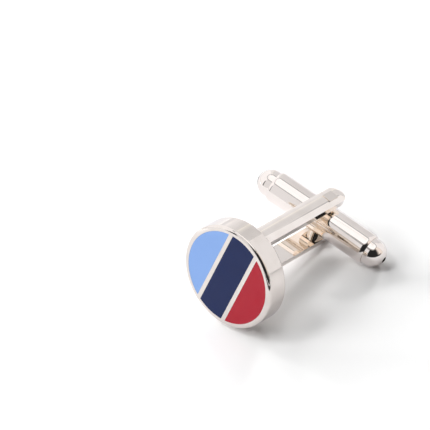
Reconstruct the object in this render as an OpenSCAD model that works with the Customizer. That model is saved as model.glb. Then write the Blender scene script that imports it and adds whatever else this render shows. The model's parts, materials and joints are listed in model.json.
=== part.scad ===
// Bullet-back cufflink with a flat round head in three enamel stripes.
// Millimetres, +Z up. The cufflink lies on its side as it does on a table:
// the head looks to -Y, the swivelling bullet is at the +Y end, the floor is z = 0.
// Every piece is drawn in the cufflink's own frame (x across, y from face to
// back, z along the pivot) and laid down by lie_down().

/* [Head] */
// Diameter of the round head
head_d = 16; // [12:0.5:20]
// Thickness of the head from face to back
head_t = 3.6; // [2.4:0.1:5]
// Width of the plain metal ring round the enamel
rim_w = 0.8; // [0.5:0.05:2]
// Depth of the enamel cells
enamel_depth = 0.7; // [0.3:0.05:1.2]
// Width of the middle stripe
stripe_w = 4.35; // [2:0.05:7]
// Width of the two metal walls between the stripes
wall_w = 0.66; // [0.3:0.02:1.2]
// How far the stripes lean from the pivot direction, degrees
stripe_turn = 6; // [-45:1:45]
// Radius of the polished front edge
front_round = 0.5; // [0.1:0.05:0.8]
// Radius of the back edge
back_round = 0.25; // [0.1:0.05:0.8]

/* [Bracket] */
// Distance from the back of the head to the pivot
reach = 19.1; // [14:0.1:26]
// Free space between the bullet and each arm
side_play = 0.62; // [0.3:0.01:1.5]
// Width of the arms
arm_w = 3.15; // [2.6:0.05:5]
// Thickness of the arms at the crown
arm_t = 1.3; // [0.9:0.05:1.8]
// How high the crown of the arms stands above their straight sides
arm_rise = 0.35; // [0.15:0.05:0.6]
// Length of the arms past the pivot
arm_over = 2.85; // [2:0.05:4]
// Inside radius of the two bends behind the head
bend_r = 0.8; // [0.4:0.1:1.6]
// How much of the crown is filed flat where the bracket meets the head
foot_flat = 0.3; // [0.1:0.05:0.6]
// Sideways place of the soldered bracket on the head
bracket_shift = -0.8; // [-1.5:0.1:1.5]
// Height of the solder fillet on the back of the head
solder_h = 0.45; // [0.2:0.05:0.8]
// How far the foot of the fillet runs out past the sides of the bracket
solder_out = 0.35; // [0.2:0.05:0.6]
// How far the fillet runs past the straight foot of the bracket
solder_over = 0.3; // [0:0.05:1]

/* [Pivot post] */
// Diameter of the post where the bullet turns on it
post_d = 2.4; // [1.6:0.1:3]
// Width across the flats of the square part that the springs press on
cam_w = 1.7; // [1.1:0.05:2.2]
// How far the square part runs past the springs at each end
cam_over = 0.5; // [0.1:0.05:0.7]
// Width of the riveted tenon, across the arm
tenon_w = 1.5; // [1:0.05:2]
// Length of the riveted tenon, along the arm
tenon_l = 1.9; // [1:0.05:2.4]
// How far the tenon stands above the crown of the arm
tenon_proud = 0.08; // [0:0.02:0.3]

/* [Bullet] */
// Diameter of the bullet tube
tube_d = 4.86; // [3.6:0.02:6]
// Length of the bullet tube between the caps
tube_l = 17.4; // [14:0.2:24]
// Wall thickness of the tube
tube_wall = 0.4; // [0.2:0.05:0.6]
// Length of the drawn-in ends of the tube
lip_l = 0.6; // [0.3:0.05:1.5]
// Part of the wall that is left at the drawn-in ends
lip_part = 0.6; // [0.2:0.05:0.9]
// How far the domed caps stand in from the side of the tube
cap_step = 0.31; // [0.05:0.01:0.5]
// Wall of the caps where they are bored out
cap_wall = 0.45; // [0.3:0.05:0.7]
// Straight part of a cap before its dome
cap_straight = 0.65; // [0.1:0.05:2]
// Diameter of the vent hole in the tip of a cap
vent_d = 1; // [0.4:0.1:1.6]
// Length of the plug that holds a cap in the tube
plug_l = 1.5; // [0.8:0.1:3]
// Turn of the bullet away from square to the arms, degrees
bullet_turn = 7; // [-90:1:90]

/* [Springs] */
// Thickness of the two leaf springs
leaf_t = 0.15; // [0.08:0.01:0.25]
// Width of the leaf springs
leaf_w = 2; // [1:0.1:2.6]
// Free space between the springs' ends and the plugs of the caps
leaf_play = 0.2; // [0.1:0.05:1]

/* [Fits] */
// Radial clearance of the post in the tube
run_clear = 0.04; // [0.01:0.01:0.1]
// Clearance between pieces that are seated, soldered or fused together
seat = 0.01; // [0:0.005:0.03]

/* [Hidden] */
$fn = 48;

head_r = head_d / 2;
enamel_r = head_r - rim_w;
pivot_y = head_t + reach;
tube_r = tube_d / 2;
gap_r = tube_r + side_play;
arm_gap = 2 * gap_r;
arm_r = (arm_w * arm_w / 4 + arm_rise * arm_rise) / (2 * arm_rise);
arm_end_y = pivot_y + arm_over - arm_w / 2;
crown_z = gap_r + arm_t;
tenon_top = crown_z + tenon_proud;
foot_y = head_t - foot_flat;
bend_y = foot_y + arm_t + bend_r;
bend_z = gap_r - bend_r;
bore_r = tube_r - tube_wall;
tube_end = tube_l / 2;
lip_in = tube_wall * (1 - lip_part);
lip_r = (lip_l * lip_l + lip_in * lip_in) / (2 * lip_in);
lip_x = tube_end - lip_l;
plug_r = bore_r - seat;
cap_r = tube_r - cap_step;
cap_bore_r = min(plug_r, cap_r) - cap_wall;
dome_x = tube_end + cap_straight;
cam_l = leaf_w + 2 * cam_over;
post_r = post_d / 2;
eps = 0.05;

cam_turn = abs(bullet_turn) > 45 ? 90 - abs(bullet_turn) : abs(bullet_turn);

// Bow of a leaf spring: it touches the cam in the middle and the tube at the ends.
// With the bullet a little off square the corner of the cam lifts the spring.
leaf_l = tube_l - 2 * (plug_l + leaf_play);
cam_corner = min(cam_w / 2, sqrt(post_r * post_r - cam_w * cam_w / 4));
leaf_in = cam_w / 2 * cos(cam_turn) + cam_corner * sin(cam_turn) + seat;
leaf_out = sqrt(bore_r * bore_r - leaf_w * leaf_w / 4) - seat;
leaf_bow = leaf_out - leaf_in - leaf_t;
leaf_r = (leaf_l * leaf_l / 4 + leaf_bow * leaf_bow) / (2 * leaf_bow);

// How the cufflink comes to rest on three points: the back rim of the head, the lower
// arm, on its riveted tenon or its domed end, and the bullet, on its near cap or its tube.
// depth() is how far a point lies below the centre of the face.
rim_r = head_r - back_round;
tip_x = bracket_shift + tenon_w / 2;
tip_y = pivot_y + tenon_l / 2;
function depth(p, q, x, y, z) = y * sin(p) + cos(p) * (x * sin(q) - z * cos(q));
function on_bullet(p, q, x) = depth(p, q, bracket_shift + x * cos(bullet_turn),
                                    pivot_y + x * sin(bullet_turn), 0);
function slant(p, q) = cos(p) * sin(q) * cos(bullet_turn) + sin(p) * sin(bullet_turn);
function tube_depth(p, q) = let(s = slant(p, q), c = sqrt(1 - s * s)) lip_r * s < lip_l
    ? on_bullet(p, q, lip_x) + lip_r + (tube_r - lip_r) * c
    : on_bullet(p, q, tube_end) + (tube_r - lip_in) * c;
function bullet_depth(p, q) = max(on_bullet(p, q, dome_x) + cap_r, tube_depth(p, q));
function end_depth(p, q) = let(s = sqrt(pow(sin(p), 2) + pow(cos(p) * sin(q), 2)))
    2 * arm_r * s < arm_w ? depth(p, q, bracket_shift, arm_end_y, arm_r - crown_z) + arm_r
    : depth(p, q, bracket_shift, arm_end_y, arm_rise - crown_z) + s * arm_w / 2;
function arm_depth(p, q) = max(depth(p, q, tip_x, tip_y, -tenon_top), end_depth(p, q));
function head_depth(p) = (head_t - back_round) * sin(p) + rim_r * cos(p) + back_round;
function roll_for(p, low, high, n) = let(mid = (low + high) / 2) n == 0 ? mid
    : bullet_depth(p, mid) > arm_depth(p, mid) ? roll_for(p, low, mid, n - 1)
    : roll_for(p, mid, high, n - 1);
function pitch_for(low, high, n) = let(mid = (low + high) / 2) n == 0 ? mid
    : arm_depth(mid, roll_for(mid, 4, 60, 24)) > head_depth(mid) ? pitch_for(low, mid, n - 1)
    : pitch_for(mid, high, n - 1);
pitch = pitch_for(0, 40, 24);
roll = roll_for(pitch, 4, 60, 24);
axis_h = head_depth(pitch);

// Place of the bounding box, so that the origin lies below its middle.
box_front = front_round * cos(pitch) - (head_r - front_round) * sin(pitch) - front_round;
function back_of(x, y, z) = y * cos(pitch) + (z * cos(roll) - x * sin(roll)) * sin(pitch);
function cap_back(side) = cap_r + back_of(bracket_shift + side * dome_x * cos(bullet_turn),
                                          pivot_y + side * dome_x * sin(bullet_turn), 0);
arm_back = back_of(bracket_shift, arm_end_y, crown_z - arm_rise)
    + arm_w / 2 * sqrt(pow(cos(pitch), 2) + pow(sin(roll) * sin(pitch), 2));
box_back = max(arm_back, cap_back(-1), cap_back(1));
box_mid_y = (box_front + box_back) / 2;
box_mid_x = bracket_shift * cos(roll);

module lie_down() {
    translate([-box_mid_x, -box_mid_y, axis_h])
        rotate([-pitch, 0, 0])
            rotate([0, roll, 0])
                children();
}

// Turns a shape drawn along z so that it runs from the face to the back.
module along_y() {
    rotate([-90, 0, 0])
        children();
}

// Turns a shape drawn along z so that it runs along the bullet.
module along_x() {
    rotate([0, 90, 0])
        children();
}

// Everything behind the head is centred on the bracket.
module on_bracket() {
    translate([bracket_shift, 0, 0])
        children();
}

module at_pivot() {
    on_bracket()
        translate([0, pivot_y, 0])
            rotate([0, 0, bullet_turn])
                children();
}

module head_blank() {
    along_y()
        rotate_extrude()
            union() {
                square([head_r - front_round, head_t]);
                translate([0, front_round])
                    square([head_r, head_t - front_round - back_round]);
                translate([0, head_t / 2])
                    square([head_r - back_round, head_t / 2]);
                translate([head_r - front_round, front_round])
                    circle(front_round);
                translate([head_r - back_round, head_t - back_round])
                    circle(back_round);
            }
}

// Outline of an enamel cell: side -1 is left of the middle stripe, 0 the stripe, 1 right.
module cell_outline(side, gap) {
    half = stripe_w / 2;
    from = side < 0 ? -head_d : (side == 0 ? -half : half + wall_w);
    to = side < 0 ? -half - wall_w : (side == 0 ? half : head_d);
    intersection() {
        circle(enamel_r - gap);
        rotate(-stripe_turn)
            translate([from + gap, -head_d])
                square([to - from - 2 * gap, 2 * head_d]);
    }
}

// A cell's floor lies at the enamel's depth, and it reaches out past the face by over.
module cell(side, gap, over) {
    translate([0, enamel_depth - gap, 0])
        rotate([90, 0, 0])
            linear_extrude(height = enamel_depth - gap + over)
                cell_outline(side, gap);
}

module head_body() {
    color([0.86, 0.84, 0.82])
        difference() {
            head_blank();
            for (side = [-1, 0, 1])
                cell(side, 0, 1);
        }
}

module enamel_light_blue() {
    color([0.55, 0.7, 0.93])
        cell(-1, seat, -seat);
}

module enamel_navy() {
    color([0.14, 0.17, 0.33])
        cell(0, seat, -seat);
}

module enamel_red() {
    color([0.7, 0.16, 0.22])
        cell(1, seat, -seat);
}

// Section of the bracket's bar: flat side at y = 0, straight sides, low crown at y = arm_t.
module bar_section() {
    intersection() {
        translate([0, arm_t - arm_r])
            circle(arm_r);
        translate([-arm_w / 2, 0])
            square([arm_w, 2 * arm_t]);
    }
}

module bend() {
    // quarter of a ring about x: from the foot (towards -y) to the arm (towards +z)
    translate([0, bend_y, bend_z])
        rotate([0, 90, 0])
            rotate([0, 0, 180])
                rotate_extrude(angle = 90)
                    translate([bend_r, 0])
                        rotate(-90)
                            bar_section();
}

module one_arm() {
    translate([0, arm_end_y, gap_r])
        rotate([90, 0, 0])
            linear_extrude(height = arm_end_y - bend_y)
                bar_section();
    translate([0, arm_end_y, gap_r])
        rotate_extrude()
            intersection() {
                bar_section();
                square([arm_w, 2 * arm_t]);
            }
    bend();
}

module bracket_blank() {
    for (side = [0, 1])
        mirror([0, 0, side])
            one_arm();
    translate([0, foot_y + arm_t, -bend_z])
        rotate([0, 0, 180])
            linear_extrude(height = 2 * bend_z)
                bar_section();
}

// The riveted ends of the post, and with a gap the holes that they fill in the arms.
module tenons(gap, low, high) {
    for (side = [0, 1])
        mirror([0, 0, side])
            translate([0, 0, low])
                intersection() {
                    cylinder(r = post_r + gap, h = high - low);
                    translate([-tenon_w / 2 - gap, -tenon_l / 2 - gap, 0])
                        cube([tenon_w + 2 * gap, tenon_l + 2 * gap, high - low]);
                }
}

module arm_bracket() {
    color([0.85, 0.83, 0.81])
        on_bracket()
            difference() {
                bracket_blank();
                translate([-arm_w, foot_y - 1, -arm_gap])
                    cube([2 * arm_w, 1 + foot_flat + seat, 2 * arm_gap]);
                translate([0, pivot_y, 0])
                    tenons(seat, gap_r - 1, crown_z + 1);
            }
}

// Fillet of solder round the filed foot.
module solder_joint() {
    half = arm_w / 2 + solder_out;
    top = half - 1.3 * solder_out;
    run = bend_z + solder_over;
    color([0.78, 0.77, 0.75])
        on_bracket()
            difference() {
                translate([0, head_t + seat, 0])
                    along_y()
                        union() {
                            for (side = [-1, 1])
                                translate([0, side * run, 0])
                                    cylinder(r1 = half, r2 = top, h = solder_h);
                            rotate([90, 0, 0])
                                linear_extrude(height = 2 * run, center = true)
                                    polygon([[-half, 0], [half, 0],
                                             [top, solder_h], [-top, solder_h]]);
                        }
                bracket_blank();
            }
}

module pivot_post() {
    color([0.84, 0.82, 0.8])
        on_bracket()
            translate([0, pivot_y, 0])
                union() {
                    tenons(0, gap_r - seat - eps, tenon_top);
                    intersection() {
                        cylinder(r = post_r, h = cam_l + eps, center = true);
                        cube([cam_w, cam_w, cam_l + 2 * eps], center = true);
                    }
                    for (side = [-1, 1])
                        translate([0, 0, side * (cam_l / 2 + gap_r - seat) / 2])
                            cylinder(r = post_r, h = gap_r - seat - cam_l / 2, center = true);
                }
}

module bullet_tube() {
    color([0.85, 0.83, 0.81])
        at_pivot()
            difference() {
                along_x()
                    rotate_extrude()
                        union() {
                            translate([bore_r, -lip_x])
                                square([tube_wall, 2 * lip_x]);
                            intersection() {
                                translate([bore_r, -tube_end])
                                    square([tube_wall, tube_l]);
                                for (side = [-1, 1])
                                    translate([tube_r - lip_r, side * lip_x])
                                        circle(lip_r);
                            }
                        }
                cylinder(r = post_r + run_clear, h = 3 * tube_d, center = true);
            }
}

module end_cap() {
    along_x()
        rotate_extrude()
            difference() {
                union() {
                    translate([0, tube_end - plug_l])
                        square([plug_r, plug_l]);
                    translate([0, tube_end - eps])
                        square([min(plug_r, cap_r), seat + 2 * eps]);
                    translate([0, tube_end + seat])
                        square([cap_r, cap_straight - seat]);
                    intersection() {
                        translate([0, dome_x])
                            circle(cap_r);
                        translate([0, dome_x - eps])
                            square([cap_r, cap_r + 1]);
                    }
                }
                square([vent_d / 2, tube_l]);
                square([cap_bore_r, dome_x + cap_wall]);
            }
}

module near_end_cap() {
    color([0.86, 0.84, 0.82])
        at_pivot()
            end_cap();
}

module far_end_cap() {
    color([0.86, 0.84, 0.82])
        at_pivot()
            mirror([1, 0, 0])
                end_cap();
}

module leaf() {
    intersection() {
        translate([0, -leaf_in - leaf_r, 0])
            difference() {
                cylinder(r = leaf_r, h = leaf_w, center = true, $fn = 720);
                cylinder(r = leaf_r - leaf_t, h = 2 * leaf_w, center = true, $fn = 720);
            }
        translate([-leaf_l / 2, -tube_r, -leaf_w])
            cube([leaf_l, tube_r, 2 * leaf_w]);
    }
}

module front_leaf_spring() {
    color([0.55, 0.57, 0.6])
        at_pivot()
            leaf();
}

module rear_leaf_spring() {
    color([0.55, 0.57, 0.6])
        at_pivot()
            mirror([0, 1, 0])
                leaf();
}

lie_down() {
    head_body();
    enamel_light_blue();
    enamel_navy();
    enamel_red();
    solder_joint();
    arm_bracket();
    pivot_post();
    bullet_tube();
    near_end_cap();
    far_end_cap();
    front_leaf_spring();
    rear_leaf_spring();
}
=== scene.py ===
"""Studio picture of one bullet-back cufflink lying on a white table.

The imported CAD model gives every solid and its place. This script dresses each
piece in the finish that the real one has, sets up the table, the soft lights
and the room that the metal mirrors, and puts the camera where the photograph's
was.
"""

import json
import logging
import math
from dataclasses import dataclass, field
from enum import Enum

import bpy  # noqa: E402
from mathutils import Matrix, Vector  # noqa: E402


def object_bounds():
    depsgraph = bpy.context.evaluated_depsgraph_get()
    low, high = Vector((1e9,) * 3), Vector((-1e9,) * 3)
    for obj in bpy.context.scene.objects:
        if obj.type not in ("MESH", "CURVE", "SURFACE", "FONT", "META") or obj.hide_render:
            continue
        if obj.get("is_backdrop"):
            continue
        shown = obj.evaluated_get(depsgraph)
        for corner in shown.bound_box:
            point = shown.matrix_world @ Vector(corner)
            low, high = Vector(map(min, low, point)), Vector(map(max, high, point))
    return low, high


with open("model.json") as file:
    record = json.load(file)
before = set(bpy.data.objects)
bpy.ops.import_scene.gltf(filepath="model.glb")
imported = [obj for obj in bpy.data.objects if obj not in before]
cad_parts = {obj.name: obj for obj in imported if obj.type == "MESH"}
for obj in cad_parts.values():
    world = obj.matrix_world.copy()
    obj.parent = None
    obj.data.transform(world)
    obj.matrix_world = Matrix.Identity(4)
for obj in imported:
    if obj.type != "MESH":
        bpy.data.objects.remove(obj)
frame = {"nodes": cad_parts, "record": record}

MM = 0.001
WHITE = "#FFFFFF"
LOG = logging.getLogger("cufflink")

# An edge is softened where its two faces turn by more than this angle.
BEVEL_ANGLE = math.radians(40)
BEVEL_SEGMENTS = 2

# Number of small faces across and up each card of the room.
CARD_COLUMNS = 90
CARD_ROWS = 60

# Numbers of the sockets that share a name on a Mix node set to colours.
FACTOR, COLOUR_A, COLOUR_B, MIXED = 0, 6, 7, 2


# Colours and shader nodes


def linear(colour: str) -> tuple[float, float, float, float]:
    """Turns an sRGB hex colour into the linear values that shaders use.

    Args:
        colour: The colour as written on a swatch, such as "#D8CEC4".

    Returns:
        Red, green, blue and alpha, from 0 to 1.
    """
    channels = [int(colour[i : i + 2], 16) / 255 for i in (1, 3, 5)]
    red, green, blue = (
        c / 12.92 if c <= 0.04045 else ((c + 0.055) / 1.055) ** 2.4 for c in channels
    )
    return red, green, blue, 1.0


def empty_tree(owner: bpy.types.Material | bpy.types.World) -> bpy.types.NodeTree:
    """Switches on the shader nodes of a material or a world and clears them away.

    Args:
        owner: The material or the world.

    Returns:
        Its node tree, with no nodes in it.
    """
    owner.use_nodes = True
    owner.node_tree.nodes.clear()
    return owner.node_tree


def add_node(
    tree: bpy.types.NodeTree,
    kind: str,
    settings: dict[str, object] | None = None,
    inputs: dict[str | int, object] | None = None,
) -> bpy.types.Node:
    """Adds a shader node, with its settings and with values or links on its inputs.

    Args:
        tree: The node tree that gets the node.
        kind: Blender's name of the node type.
        settings: Values for the node's own properties.
        inputs: A value, or an output socket to link, for each named or numbered input.

    Returns:
        The new node.
    """
    node = tree.nodes.new(kind)
    for name, value in (settings or {}).items():
        setattr(node, name, value)
    for name, value in (inputs or {}).items():
        if isinstance(value, bpy.types.NodeSocket):
            tree.links.new(value, node.inputs[name])
        else:
            node.inputs[name].default_value = value
    return node


def per_metre(spacing_mm: float) -> float:
    """Returns the texture scale, in repeats a metre, of a pattern this many mm apart."""
    return 1 / (spacing_mm * MM)


class Grain(Enum):
    """The direction in which a tool or a cloth left its fine lines, in the cufflink's frame."""

    ACROSS = (1, 0, 0)
    LENGTHWISE = (0, 1, 0)
    UPRIGHT = (0, 0, 1)


# The cufflink's own frame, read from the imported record


@dataclass(frozen=True)
class CufflinkFrame:
    """Where the cufflink lies: x across it, y from its face to its back, z along its pivot.

    Attributes:
        face: Centre of the enamelled face, in metres.
        pivot: Middle of the pivot post, in metres.
        turn: Rotation from the cufflink's frame to the scene.
    """

    face: Vector
    pivot: Vector
    turn: Matrix

    @classmethod
    def from_record(cls, record: dict) -> "CufflinkFrame":
        """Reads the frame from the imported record.

        Args:
            record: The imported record, with its mounts and joints.

        Returns:
            The frame of the cufflink as it lies.
        """
        rest = next(m for m in record["mounts"] if m["name"] == "face_rest")
        swivel = record["behaviour"]["joints"][0]
        back = -Vector(rest["axis"])
        up = Vector(swivel["axis"])
        turn = Matrix((back.cross(up), back, up)).transposed()
        return cls(Vector(rest["pos_m"]), Vector(swivel["pos_m"]), turn)

    def coordinates(
        self, tree: bpy.types.NodeTree, at_pivot: bool = False
    ) -> bpy.types.NodeSocket:
        """Adds nodes that give a point's place in the cufflink's frame, in metres.

        Args:
            tree: The material's node tree.
            at_pivot: True to measure from the pivot, False from the centre of the face.

        Returns:
            The socket that carries the place.
        """
        seen = add_node(tree, "ShaderNodeTexCoord")
        laid = add_node(
            tree,
            "ShaderNodeMapping",
            {"vector_type": "TEXTURE"},
            {
                "Vector": seen.outputs["Object"],
                "Location": self.pivot if at_pivot else self.face,
                "Rotation": self.turn.to_euler("XYZ"),
            },
        )
        return laid.outputs["Vector"]


LYING = CufflinkFrame.from_record(frame["record"])


# Finishes


@dataclass(frozen=True)
class WorkedMetal:
    """Metal that a wheel, a tool or a roll has finished.

    Attributes:
        name: Name of the material.
        colour: Colour of the metal, seen straight on.
        shade: Its colour in the low spots.
        roughness: Roughness where it is clean.
        haze: Roughness added by wiping marks.
        hairline_mm: Distance between the hairlines.
        hairline_depth_mm: Depth of the hairlines.
        hairline_stretch: Length of a hairline against its width.
        wave_mm: Length of the waves that the work leaves.
        wave_depth_mm: Height of those waves.
        low_spots: Heights of the waves, as shares, over which the shade sets in.
        low_shade: Share of the shade in the deepest spots.
        wipe_mm: Size of the wiping marks.
        wiped: Strengths of a wiping mark, as shares, over which the haze sets in.
        grain: Direction of the hairlines.
        at_pivot: True for a piece of the bullet, whose marks are placed from the pivot.
    """

    name: str
    colour: str
    shade: str
    roughness: float = 0.04
    haze: float = 0.04
    hairline_mm: float = 0.08
    hairline_depth_mm: float = 0.0002
    hairline_stretch: float = 25.0
    wave_mm: float = 2.2
    wave_depth_mm: float = 0.0008
    low_spots: tuple[float, float] = (0.35, 0.75)
    low_shade: float = 0.55
    wipe_mm: float = 1.76
    wiped: tuple[float, float] = (0.42, 0.72)
    grain: Grain = Grain.LENGTHWISE
    at_pivot: bool = False

    def material(self) -> bpy.types.Material:
        """Makes the finish as a Blender material.

        Returns:
            The new material.
        """
        made = bpy.data.materials.new(self.name)
        tree = empty_tree(made)
        place = LYING.coordinates(tree, self.at_pivot)
        waves = add_node(
            tree,
            "ShaderNodeTexNoise",
            None,
            {"Vector": place, "Scale": per_metre(self.wave_mm), "Detail": 1.0},
        )
        shader = add_node(
            tree,
            "ShaderNodeBsdfPrincipled",
            None,
            {
                "Base Color": self.tint(tree, waves.outputs[0]),
                "Metallic": 1.0,
                "Roughness": self.gloss(tree, place),
                "Normal": self.relief(tree, place, waves.outputs[0]),
            },
        )
        add_node(tree, "ShaderNodeOutputMaterial", None, {"Surface": shader.outputs[0]})
        return made

    def tint(
        self, tree: bpy.types.NodeTree, waves: bpy.types.NodeSocket
    ) -> bpy.types.NodeSocket:
        """Adds the colour of the metal, a little deeper in the low spots.

        Args:
            tree: The material's node tree.
            waves: The socket that carries the height of the waves.

        Returns:
            The socket that carries the colour.
        """
        low = add_node(
            tree,
            "ShaderNodeMapRange",
            {"interpolation_type": "SMOOTHSTEP"},
            {
                "Value": waves,
                "From Min": self.low_spots[0],
                "From Max": self.low_spots[1],
                "To Min": 0.0,
                "To Max": self.low_shade,
            },
        )
        mixed = add_node(
            tree,
            "ShaderNodeMix",
            {"data_type": "RGBA"},
            {
                FACTOR: low.outputs[0],
                COLOUR_A: linear(self.colour),
                COLOUR_B: linear(self.shade),
            },
        )
        return mixed.outputs[MIXED]

    def gloss(
        self, tree: bpy.types.NodeTree, place: bpy.types.NodeSocket
    ) -> bpy.types.NodeSocket:
        """Adds the roughness of the metal, with the haze of wiping marks.

        Args:
            tree: The material's node tree.
            place: The socket that carries a point's place.

        Returns:
            The socket that carries the roughness.
        """
        marks = add_node(
            tree,
            "ShaderNodeTexNoise",
            None,
            {
                "Vector": place,
                "Scale": per_metre(self.wipe_mm),
                "Detail": 4.0,
                "Distortion": 0.6,
            },
        )
        hazed = add_node(
            tree,
            "ShaderNodeMapRange",
            {"interpolation_type": "SMOOTHSTEP"},
            {
                "Value": marks.outputs[0],
                "From Min": self.wiped[0],
                "From Max": self.wiped[1],
                "To Min": self.roughness,
                "To Max": self.roughness + self.haze,
            },
        )
        return hazed.outputs[0]

    def relief(
        self,
        tree: bpy.types.NodeTree,
        place: bpy.types.NodeSocket,
        waves: bpy.types.NodeSocket,
    ) -> bpy.types.NodeSocket:
        """Adds the low waves of the metal, with the hairlines on top of them.

        Args:
            tree: The material's node tree.
            place: The socket that carries a point's place.
            waves: The socket that carries the height of the waves.

        Returns:
            The socket that carries the bent normal.
        """
        drawn_out = [1 / self.hairline_stretch if along else 1.0 for along in self.grain.value]
        combed = add_node(
            tree,
            "ShaderNodeVectorMath",
            {"operation": "MULTIPLY"},
            {0: place, 1: drawn_out},
        )
        hairlines = add_node(
            tree,
            "ShaderNodeTexNoise",
            None,
            {
                "Vector": combed.outputs[0],
                "Scale": per_metre(self.hairline_mm),
                "Detail": 3.0,
                "Roughness": 0.6,
            },
        )
        waved = add_node(
            tree,
            "ShaderNodeBump",
            None,
            {"Height": waves, "Distance": self.wave_depth_mm * MM, "Strength": 1.0},
        )
        scratched = add_node(
            tree,
            "ShaderNodeBump",
            None,
            {
                "Height": hairlines.outputs[0],
                "Distance": self.hairline_depth_mm * MM,
                "Strength": 1.0,
                "Normal": waved.outputs[0],
            },
        )
        return scratched.outputs[0]


@dataclass(frozen=True)
class PolishedPlate(WorkedMetal):
    """Nickel plate over buffed brass: a mirror with a warm cast.

    The eye sees whatever stands round it, bent a little by the hand of the
    buffing wheel, and hairlines only where they catch a bright edge.
    """

    colour: str = "#F8EFE5"
    shade: str = "#F1E7DC"


@dataclass(frozen=True)
class RolledSpringSteel(WorkedMetal):
    """Bare spring steel, cold rolled: a dull grey sheen drawn out along the strip."""

    colour: str = "#A7A9AC"
    shade: str = "#8F9194"
    roughness: float = 0.28


@dataclass(frozen=True)
class HardEnamel:
    """Hard enamel, fired in its cell and stoned flush with the metal.

    It is glass with a pigment in it: an even, deep colour under a soft gloss,
    with faint clouds where the pigment settled and a few pinholes.

    Attributes:
        name: Name of the material.
        colour: Colour of the fired enamel.
        cloud: Colour where the pigment lies thicker.
        gloss: Roughness of the surface, where the stone left it smoothest and dullest.
        specular: Share of its gloss that the photograph shows.
        ior: Index of refraction of the glass.
        cloud_mm: Size of the clouds.
        pinhole_mm: Distance between the pinholes.
        pinhole_rim: Radii of a pinhole's rim, inside and outside, as shares of that distance.
        pinhole_colour: Colour of a pinhole: painted shade of the pit, with the dirt in it.
        pinhole_shade_and_dirt: Share of that colour in the middle of a pinhole.
        stoning_mm: Distance between the marks of the stone.
        stoning_depth_mm: Depth of those marks.
        stoned: Strengths of those marks, as shares, over which the gloss goes down.
    """

    name: str
    colour: str
    cloud: str
    gloss: tuple[float, float] = (0.17, 0.25)
    specular: float = 0.25
    ior: float = 1.52
    cloud_mm: float = 2.6
    pinhole_mm: float = 0.9
    pinhole_rim: tuple[float, float] = (0.03, 0.07)
    pinhole_colour: str = "#1A1A1E"
    pinhole_shade_and_dirt: float = 0.25
    stoning_mm: float = 0.12
    stoning_depth_mm: float = 0.0004
    stoned: tuple[float, float] = (0.3, 0.7)

    def material(self) -> bpy.types.Material:
        """Makes the finish as a Blender material.

        Returns:
            The new material.
        """
        made = bpy.data.materials.new(self.name)
        tree = empty_tree(made)
        place = LYING.coordinates(tree)
        grit = add_node(
            tree,
            "ShaderNodeTexNoise",
            None,
            {"Vector": place, "Scale": per_metre(self.stoning_mm), "Detail": 2.0},
        )
        dulled = add_node(
            tree,
            "ShaderNodeMapRange",
            None,
            {
                "Value": grit.outputs[0],
                "From Min": self.stoned[0],
                "From Max": self.stoned[1],
                "To Min": self.gloss[0],
                "To Max": self.gloss[1],
            },
        )
        scored = add_node(
            tree,
            "ShaderNodeBump",
            None,
            {
                "Height": grit.outputs[0],
                "Distance": self.stoning_depth_mm * MM,
                "Strength": 1.0,
            },
        )
        shader = add_node(
            tree,
            "ShaderNodeBsdfPrincipled",
            None,
            {
                "Base Color": self.pigment(tree, place),
                "Roughness": dulled.outputs[0],
                "IOR": self.ior,
                "Specular IOR Level": self.specular,
                "Normal": scored.outputs[0],
            },
        )
        add_node(tree, "ShaderNodeOutputMaterial", None, {"Surface": shader.outputs[0]})
        return made

    def pigment(
        self, tree: bpy.types.NodeTree, place: bpy.types.NodeSocket
    ) -> bpy.types.NodeSocket:
        """Adds the colour of the enamel, with its clouds, and pinholes of painted shade with
        dirt.

        Args:
            tree: The material's node tree.
            place: The socket that carries a point's place.

        Returns:
            The socket that carries the colour.
        """
        clouds = add_node(
            tree,
            "ShaderNodeTexNoise",
            None,
            {"Vector": place, "Scale": per_metre(self.cloud_mm), "Detail": 5.0},
        )
        settled = add_node(
            tree,
            "ShaderNodeMix",
            {"data_type": "RGBA"},
            {
                FACTOR: clouds.outputs[0],
                COLOUR_A: linear(self.colour),
                COLOUR_B: linear(self.cloud),
            },
        )
        cells = add_node(
            tree,
            "ShaderNodeTexVoronoi",
            None,
            {"Vector": place, "Scale": per_metre(self.pinhole_mm)},
        )
        # Painted shade with dirt: each pinhole is a dark dot of colour for the shade in its pit
        # and the dirt there; the surface has no pit.
        pinholes = add_node(
            tree,
            "ShaderNodeMapRange",
            None,
            {
                "Value": cells.outputs["Distance"],
                "From Min": self.pinhole_rim[0],
                "From Max": self.pinhole_rim[1],
                "To Min": self.pinhole_shade_and_dirt,
                "To Max": 0.0,
            },
        )
        pitted = add_node(
            tree,
            "ShaderNodeMix",
            {"data_type": "RGBA"},
            {
                FACTOR: pinholes.outputs[0],
                COLOUR_A: settled.outputs[MIXED],
                COLOUR_B: linear(self.pinhole_colour),
            },
        )
        return pitted.outputs[MIXED]


# The cufflink


def dress(node: str, finish: WorkedMetal | HardEnamel, bevel_mm: float = 0.0) -> None:
    """Gives a CAD piece its finish and, if asked, softens its edges.

    Args:
        node: Name of the CAD piece.
        finish: The finish that the piece has all over.
        bevel_mm: Width of the softened edges, 0 to leave them as they are.
    """
    piece = frame["nodes"][node]
    material = finish.material()
    piece.data.materials.clear()
    piece.data.materials.append(material)
    if bevel_mm:
        soft = piece.modifiers.new("soft_edges", "BEVEL")
        soft.width = bevel_mm * MM
        soft.segments = BEVEL_SEGMENTS
        soft.limit_method = "ANGLE"
        soft.angle_limit = BEVEL_ANGLE
        soft.harden_normals = True
    LOG.info("%s: %s", node, finish.name)


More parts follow.
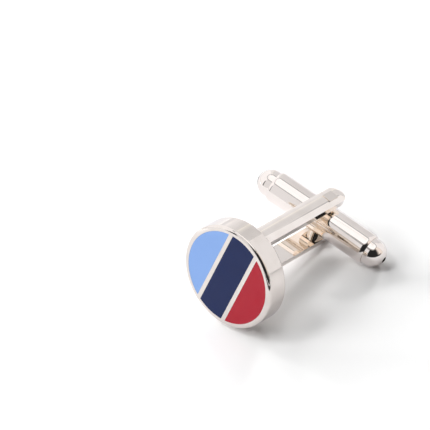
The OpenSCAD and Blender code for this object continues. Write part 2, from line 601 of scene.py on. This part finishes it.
@dataclass
class Head:
    """The struck round head with its three enamelled cells.

    Attributes:
        plate: Plate of the head, hazed more than the rest by fingers and cloths.
        enamels: The enamel in each cell, by the name of its piece.
    """

    plate: PolishedPlate = PolishedPlate(
        "nickel_plate_polished_head", "#EEE5DA", "#E5DBCF", haze=0.09
    )
    enamels: dict[str, HardEnamel] = field(
        default_factory=lambda: {
            "enamel_light_blue": HardEnamel("hard_enamel_light_blue", "#7FA1D7", "#7B9DD5"),
            "enamel_navy": HardEnamel("hard_enamel_navy", "#0B1E4B", "#091A46"),
            "enamel_red": HardEnamel("hard_enamel_red", "#A41929", "#9D1526"),
        }
    )

    def build(self) -> None:
        """Dresses the head and the enamel in its cells."""
        dress("head_body", self.plate)
        for node, enamel in self.enamels.items():
            dress(node, enamel)


@dataclass
class Bracket:
    """The two arms bent from one low-crowned bar, their solder and the pivot post.

    Attributes:
        plate: Plate of the arms, a clear mirror along the bar.
        solder: Plate over the solder, duller because no wheel reaches that corner.
        post: Plate of the turned post, a shade greyer than the bar.
        edge_mm: Width to which polishing has rounded the edges of the bar.
    """

    plate: PolishedPlate = PolishedPlate("nickel_plate_polished_arms", "#FAF1E6", "#F1E7DB")
    solder: PolishedPlate = PolishedPlate(
        "nickel_plate_over_solder", "#E6D8C7", "#DCCDBB", roughness=0.14
    )
    post: PolishedPlate = PolishedPlate(
        "nickel_plate_turned_post", "#EFE6DB", "#E7DDD1", grain=Grain.UPRIGHT
    )
    edge_mm: float = 0.15

    def build(self) -> None:
        """Dresses the bracket, its solder and the post."""
        dress("arm_bracket", self.plate, self.edge_mm)
        dress("solder_joint", self.solder)
        dress("pivot_post", self.post)


@dataclass
class Bullet:
    """The round tube with its two caps and the leaf springs inside it.

    Attributes:
        plate: Plate of the tube, a clear mirror with its hairlines along the tube.
        caps: Plate of the turned caps, a clear mirror with its hairlines across them.
        springs: Steel of the leaf springs, which stay out of sight in the tube.
    """

    plate: PolishedPlate = PolishedPlate(
        "nickel_plate_polished_tube", grain=Grain.ACROSS, at_pivot=True
    )
    caps: PolishedPlate = PolishedPlate(
        "nickel_plate_turned_caps", grain=Grain.UPRIGHT, at_pivot=True
    )
    springs: RolledSpringSteel = RolledSpringSteel(
        "spring_steel_strip_rolled", grain=Grain.ACROSS, at_pivot=True
    )

    def build(self) -> None:
        """Dresses the tube, the caps and the springs."""
        dress("bullet_tube", self.plate)
        for node in ("near_end_cap", "far_end_cap"):
            dress(node, self.caps)
        for node in ("front_leaf_spring", "rear_leaf_spring"):
            dress(node, self.springs)


# The studio


def direction(azimuth: float, elevation: float) -> Vector:
    """Returns the unit vector towards an azimuth and elevation in degrees."""
    a, e = math.radians(azimuth), math.radians(elevation)
    return Vector((math.sin(a) * math.cos(e), -math.cos(a) * math.cos(e), math.sin(e)))


@dataclass(frozen=True)
class SoftBox:
    """A square soft light that points at the cufflink.

    It lights the table and the enamel. The metal doesn't show it, but shows the
    cards of the room in front of it.

    Attributes:
        name: Name of the lamp.
        azimuth: Direction to it, degrees from the front of the head towards the right.
        elevation: Height of that direction above the table, degrees.
        side_mm: Width and height of its cloth.
        brightness: Brightness of the cloth, where 1 is white.
        distance_mm: Distance from the cufflink.
    """

    name: str
    azimuth: float
    elevation: float
    side_mm: float
    brightness: float
    distance_mm: float = 1200.0

    def build(self) -> None:
        """Adds the lamp, turned to the cufflink."""
        away = direction(self.azimuth, self.elevation)
        lamp = bpy.data.lights.new(self.name, "AREA")
        lamp.shape = "SQUARE"
        lamp.size = self.side_mm * MM
        lamp.energy = self.brightness * math.pi * lamp.size**2
        holder = bpy.data.objects.new(self.name, lamp)
        holder.location = away * self.distance_mm * MM
        holder.rotation_euler = away.to_track_quat("Z", "Y").to_euler()
        holder.visible_glossy = False
        bpy.context.scene.collection.objects.link(holder)


@dataclass(frozen=True)
class RoomCard:
    """A curved card round the table, which only shiny surfaces show.

    Attributes:
        name: Name of the card.
        azimuths: Its left and right edges, in degrees.
        elevations: Its lower and upper edges, in degrees.
        brightness: Its brightness, where 1 is white.
        fade: Width of the soft border at its left, right, lower and upper edge, degrees.
        distance_mm: Distance from the cufflink. A nearer card hides one behind it.
        tint: Colour of the card.
    """

    name: str
    azimuths: tuple[float, float]
    elevations: tuple[float, float]
    brightness: float
    fade: tuple[float, float, float, float]
    distance_mm: float
    tint: str = "#F3F4FB"

    def build(self) -> None:
        """Adds the card, seen by glossy rays alone."""
        places, cover = self.corners()
        width = CARD_COLUMNS + 1
        quads = [
            (i, i + 1, i + width + 1, i + width)
            for row in range(CARD_ROWS)
            for i in range(row * width, row * width + CARD_COLUMNS)
        ]
        mesh = bpy.data.meshes.new(self.name)
        mesh.from_pydata(places, [], quads)
        mesh.attributes.new("cover", "FLOAT", "POINT").data.foreach_set("value", cover)
        card = bpy.data.objects.new(self.name, mesh)
        bpy.context.scene.collection.objects.link(card)
        card.visible_camera = False
        card.visible_diffuse = False
        card.visible_shadow = False
        card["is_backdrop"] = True
        mesh.materials.append(self.material())

    def corners(self) -> tuple[list[Vector], list[float]]:
        """Works out the corners of the card's small faces, row by row from below.

        Returns:
            The corners in metres, and how far the card covers each one, from 0 to 1.
        """
        left, right = self.azimuths
        low, high = self.elevations
        places, cover = [], []
        for row in range(CARD_ROWS + 1):
            for column in range(CARD_COLUMNS + 1):
                azimuth = left + (right - left) * column / CARD_COLUMNS
                elevation = low + (high - low) * row / CARD_ROWS
                places.append(direction(azimuth, elevation) * self.distance_mm * MM)
                inside = (azimuth - left, right - azimuth, elevation - low, high - elevation)
                cover.append(min(1.0, *(gap / soft for gap, soft in zip(inside, self.fade))))
        return places, cover

    def material(self) -> bpy.types.Material:
        """Makes the card's even colour, which thins out at its soft borders.

        Returns:
            The new material.
        """
        made = bpy.data.materials.new(self.name + "_card")
        tree = empty_tree(made)
        cover = add_node(tree, "ShaderNodeAttribute", {"attribute_name": "cover"})
        clear = add_node(tree, "ShaderNodeBsdfTransparent")
        lit = add_node(
            tree,
            "ShaderNodeEmission",
            None,
            {"Color": linear(self.tint), "Strength": self.brightness},
        )
        seen = add_node(
            tree,
            "ShaderNodeMixShader",
            None,
            {0: cover.outputs["Fac"], 1: clear.outputs[0], 2: lit.outputs[0]},
        )
        add_node(tree, "ShaderNodeOutputMaterial", None, {"Surface": seen.outputs[0]})
        return made


@dataclass
class Studio:
    """The white table, the pale room, the lights and the cards that the metal mirrors.

    Attributes:
        table_mm: Length of the table's sides.
        table_gap_mm: Gap under the cufflink, so that none of its faces lies in the table's.
        table_colour: Colour of the table.
        painted_table_reflection: Painted reflection of the table, a colour that only glossy
            rays see on it,
        so that the metal shows the table dimmer and bluer than it is.
        fill: Brightness of the room as it lights the table, where 1 is white.
        lights: The soft boxes.
        cards: The silks of the light tent, the pale walls, the dark places, and a near card
        that paints a dark reflection.
    """

    table_mm: float = 1600.0
    table_gap_mm: float = 0.01
    table_colour: str = WHITE
    painted_table_reflection: str = "#E9EAF1"
    fill: float = 0.04
    lights: tuple[SoftBox, ...] = (
        SoftBox("softbox_front_left", -36, 32, 610, 7.2),
        SoftBox("softbox_left", -100, 32, 375, 12.5),
        SoftBox("softbox_low_left", -76, 14, 610, 12.0),
        SoftBox("softbox_back_left", -124, 38, 225, 15.5),
        SoftBox("softbox_behind", -164, 26, 225, 31.0),
        SoftBox("softbox_overhead", -44, 62, 225, 17.5),
    )
    cards: tuple[RoomCard, ...] = (
        # The lit silks of the tent, and the seam between them.
        RoomCard("silk_left", (-148, -26), (-1, 72), 1.19, (14, 3, 12, 4), 900),
        RoomCard("silk_top", (-180, 180), (62, 90), 1.25, (1, 1, 6, 1), 940),
        RoomCard("seam_of_tent", (-180, 180), (60, 63.5), 0.08, (1, 1, 1, 1), 865),
        # The pale walls, with the gap where two of them meet.
        RoomCard("wall_front", (-30, 12), (-1, 66), 0.92, (1, 1, 1, 3), 920),
        RoomCard("wall_left", (-151, -28), (-1, 66), 0.88, (2, 2, 1, 3), 928),
        RoomCard("wall_back", (-180, -150), (-1, 66), 0.82, (1, 8, 1, 3), 925),
        RoomCard("wall_right", (126, 181), (-1, 66), 1.04, (4, 1, 1, 3), 930),
        RoomCard("wall_far", (78, 132), (-1, 66), 0.88, (1, 1, 1, 3), 935, "#FFF6F2"),
        RoomCard("gap_behind", (-183, -179), (30, 37), 0.5, (1, 1, 1, 1), 915),
        # The open side with the camera and the other dark places; last, a near card that paints
        # a dark reflection.
        RoomCard("dark_side", (0.5, 100), (-1, 61), 0.024, (2, 22, 1, 5), 880),
        RoomCard("dark_low", (60, 118), (-1, 13), 0.03, (4, 26, 1, 6), 860),
        RoomCard("dark_door", (-35, -26), (0, 44), 0.06, (1, 1, 1, 6), 870),
        RoomCard("dark_floor", (-2, 84), (0, 8.5), 0.06, (4, 10, 2, 1), 58),
        # A dark card 22 mm off, seen only in the metal: a painted dark reflection, low at the
        # back left.
        RoomCard("painted_dark_reflection_card", (-141, -119), (0, 13), 0.05, (3, 3, 1, 2), 22),
    )

    def build(self) -> None:
        """Builds the table, the room, the lights and the cards."""
        self.build_table()
        self.build_room()
        for piece in self.lights + self.cards:
            piece.build()

    def build_table(self) -> None:
        """Adds the white table top, just below the cufflink."""
        half = self.table_mm / 2 * MM
        mesh = bpy.data.meshes.new("table_top")
        corners = [(-half, -half, 0), (half, -half, 0), (half, half, 0), (-half, half, 0)]
        mesh.from_pydata(corners, [], [(0, 1, 2, 3)])
        table = bpy.data.objects.new("table_top", mesh)
        bpy.context.scene.collection.objects.link(table)
        table.location.z = -self.table_gap_mm * MM
        table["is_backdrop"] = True
        mesh.materials.append(self.table_material())

    def table_material(self) -> bpy.types.Material:
        """Makes the matt laminate of the table, an even white that shows soft shadows.

        Glossy rays see a painted reflection instead, the dimmer, bluer
        painted_table_reflection.

        Returns:
            The new material.
        """
        made = bpy.data.materials.new("white_laminate_with_painted_reflection")
        tree = empty_tree(made)
        path = add_node(tree, "ShaderNodeLightPath")
        # Painted reflection: glossy rays see the table in a dimmer, bluer colour than the
        # camera does.
        seen = add_node(
            tree,
            "ShaderNodeMix",
            {"data_type": "RGBA"},
            {
                FACTOR: path.outputs["Is Glossy Ray"],
                COLOUR_A: linear(self.table_colour),
                COLOUR_B: linear(self.painted_table_reflection),
            },
        )
        shader = add_node(tree, "ShaderNodeBsdfDiffuse", None, {"Color": seen.outputs[MIXED]})
        add_node(tree, "ShaderNodeOutputMaterial", None, {"Surface": shader.outputs[0]})
        return made

    def build_room(self) -> None:
        """Sets a white background that the camera and the metal see, and a softer fill."""
        room = bpy.data.worlds.new("pale_room")
        bpy.context.scene.world = room
        tree = empty_tree(room)
        path = add_node(tree, "ShaderNodeLightPath")
        first = add_node(
            tree,
            "ShaderNodeMath",
            {"operation": "MAXIMUM"},
            {0: path.outputs["Is Camera Ray"], 1: path.outputs["Is Glossy Ray"]},
        )
        seen = add_node(
            tree,
            "ShaderNodeMath",
            {"operation": "MAXIMUM"},
            {0: first.outputs[0], 1: path.outputs["Is Transmission Ray"]},
        )
        fill, white = (
            add_node(
                tree,
                "ShaderNodeBackground",
                None,
                {"Color": linear(WHITE), "Strength": strength},
            )
            for strength in (self.fill, 1.0)
        )
        mixed = add_node(
            tree,
            "ShaderNodeMixShader",
            None,
            {0: seen.outputs[0], 1: fill.outputs[0], 2: white.outputs[0]},
        )
        add_node(tree, "ShaderNodeOutputWorld", None, {"Surface": mixed.outputs[0]})


@dataclass(frozen=True)
class PhotographCamera:
    """The camera as fitted to the outlines in the photograph.

    Attributes:
        azimuth: Direction to the camera, degrees from the front towards the right.
        elevation: Height of that direction above the table, degrees.
        roll: Tilt of the picture, degrees.
        distance_mm: Distance to the point of the table in the middle of the picture.
        look_x_mm: Place of that point across the scene.
        look_y_mm: Place of that point along the scene.
        focal_pixels: Focal length in pixels of the photograph.
        frame_pixels: Width of the photograph in pixels.
        sensor_mm: Width of the sensor.
        nearest_mm: Nearest distance that the camera shows.
        farthest_mm: Farthest distance that the camera shows.
    """

    azimuth: float = 42.13
    elevation: float = 39.73
    roll: float = -2.64
    distance_mm: float = 597.7
    look_x_mm: float = -16.521
    look_y_mm: float = 4.977
    focal_pixels: float = 4000.0
    frame_pixels: float = 430.0
    sensor_mm: float = 36.0
    nearest_mm: float = 10.0
    farthest_mm: float = 20000.0

    def back(self) -> Vector:
        """Returns the unit vector from the scene to the camera."""
        return direction(self.azimuth, self.elevation)

    def place(self) -> Vector:
        """Returns the camera's place in metres."""
        look = Vector((self.look_x_mm, self.look_y_mm, 0)) * MM
        return look + self.back() * self.distance_mm * MM

    def build(self) -> None:
        """Adds the camera and makes it the scene's own."""
        a, tilt = math.radians(self.azimuth), math.radians(self.roll)
        back = self.back()
        level = Vector((math.cos(a), math.sin(a), 0))
        upright = back.cross(level)
        right = level * math.cos(tilt) + upright * math.sin(tilt)
        up = upright * math.cos(tilt) - level * math.sin(tilt)
        turn = Matrix((right, up, back)).transposed()
        lens = bpy.data.cameras.new("photograph_camera")
        lens.sensor_width = self.sensor_mm
        lens.lens = self.focal_pixels / self.frame_pixels * self.sensor_mm
        lens.clip_start = self.nearest_mm * MM
        lens.clip_end = self.farthest_mm * MM
        camera = bpy.data.objects.new("photograph_camera", lens)
        camera.matrix_world = Matrix.Translation(self.place()) @ turn.to_4x4()
        bpy.context.scene.collection.objects.link(camera)
        bpy.context.scene.camera = camera


def as_lists(bounds: object) -> object:
    """Turns a box into plain lists that a JSON file can hold.

    Args:
        bounds: The box, or any part of it, down to a single number.

    Returns:
        The same numbers as floats, in lists nested as they were.
    """
    if isinstance(bounds, (int, float)):
        return float(bounds)
    return [as_lists(part) for part in bounds]


def main() -> None:
    """Builds the cufflink, the camera and the studio."""
    logging.basicConfig(level=logging.INFO, format="%(name)s: %(message)s")
    cad_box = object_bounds()
    for part in (Head(), Bracket(), Bullet()):
        part.build()
    PhotographCamera().build()
    Studio().build()
    bpy.context.scene.view_settings.view_transform = "Standard"
    {"cad": as_lists(cad_box), "visual": as_lists(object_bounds())}


if __name__ == "__main__":
    main()
